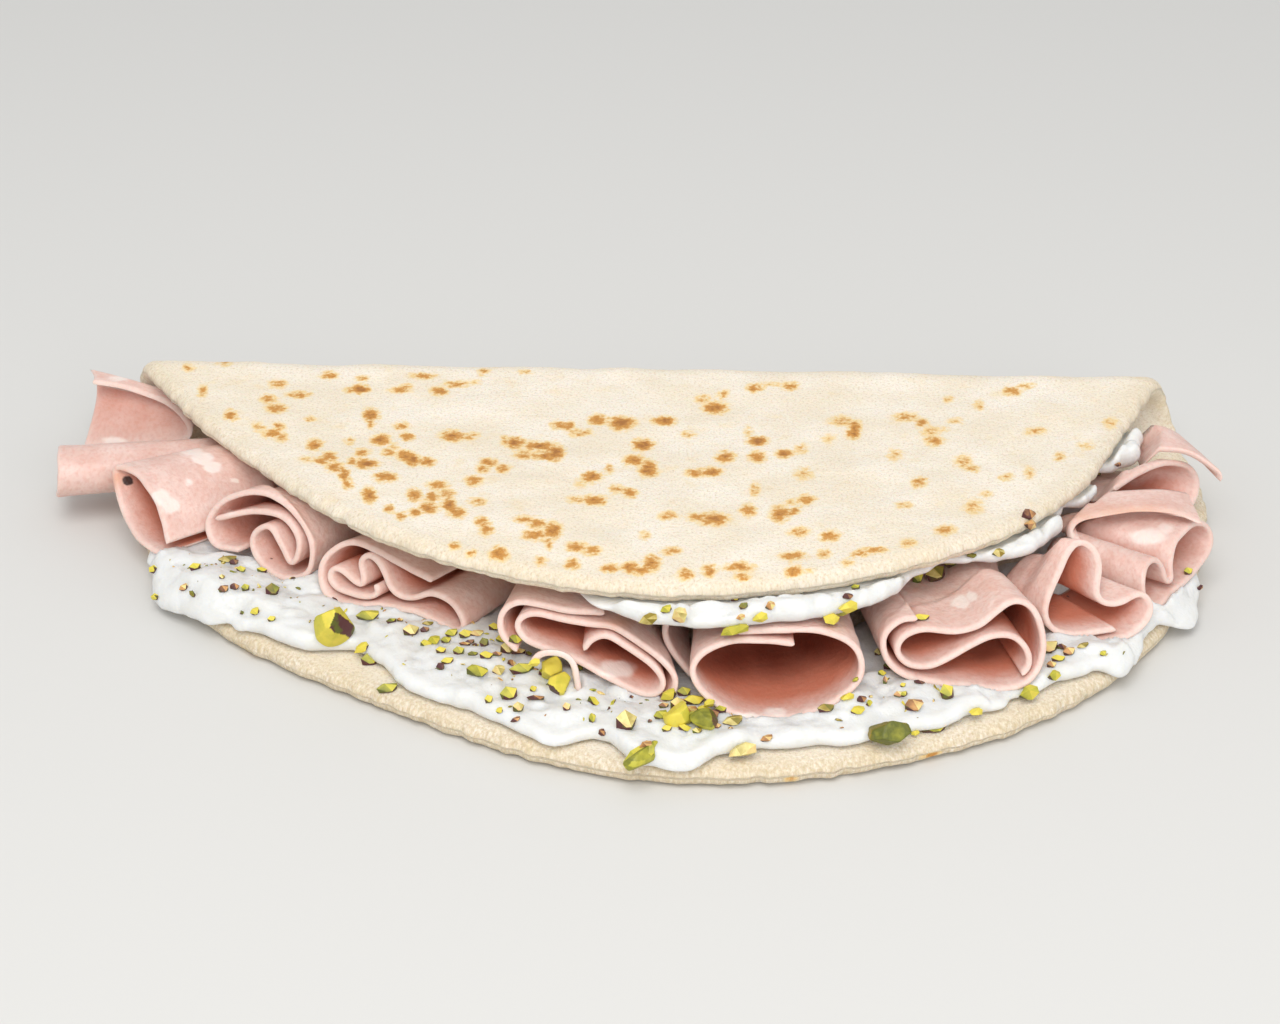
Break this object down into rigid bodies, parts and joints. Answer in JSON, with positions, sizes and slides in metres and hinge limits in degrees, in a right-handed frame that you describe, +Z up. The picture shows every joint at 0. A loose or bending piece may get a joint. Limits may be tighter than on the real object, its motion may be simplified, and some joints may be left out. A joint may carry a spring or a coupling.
{
  "type": "piadina",
  "caption": "Folded round flatbread with soft white cheese cream, folded slices of mortadella and chopped pistachios showing along its open curved side.",
  "frame": {"origin": "middle of the footprint box, at the underside of the lower half of the bread", "axes": "+X along the fold to the right seen from the open side, +Y towards the fold, +Z up out of the surface it lies on"},
  "size_m": [0.2992, 0.163, 0.0346],
  "materials": {
    "bread": "matte",
    "cream": "satin",
    "mortadella": "satin",
    "pistachio": "matte"
  },
  "bodies": {
    "root": {"bread": "bread", "cream_lower": "cream", "cream_upper": "cream", "mortadella_01": "mortadella", "mortadella_02": "mortadella", "mortadella_03": "mortadella", "mortadella_04": "mortadella", "mortadella_05": "mortadella", "mortadella_06": "mortadella", "mortadella_07": "mortadella", "mortadella_08": "mortadella", "mortadella_09": "mortadella", "mortadella_10": "mortadella", "mortadella_11": "mortadella", "mortadella_12": "mortadella", "mortadella_13": "mortadella", "mortadella_14": "mortadella", "mortadella_15": "mortadella", "mortadella_16": "mortadella", "pistachio_01": "pistachio", "pistachio_02": "pistachio", "pistachio_03": "pistachio", "pistachio_04": "pistachio", "pistachio_05": "pistachio", "pistachio_06": "pistachio", "pistachio_07": "pistachio", "pistachio_08": "pistachio"}
  },
  "joints": []
}
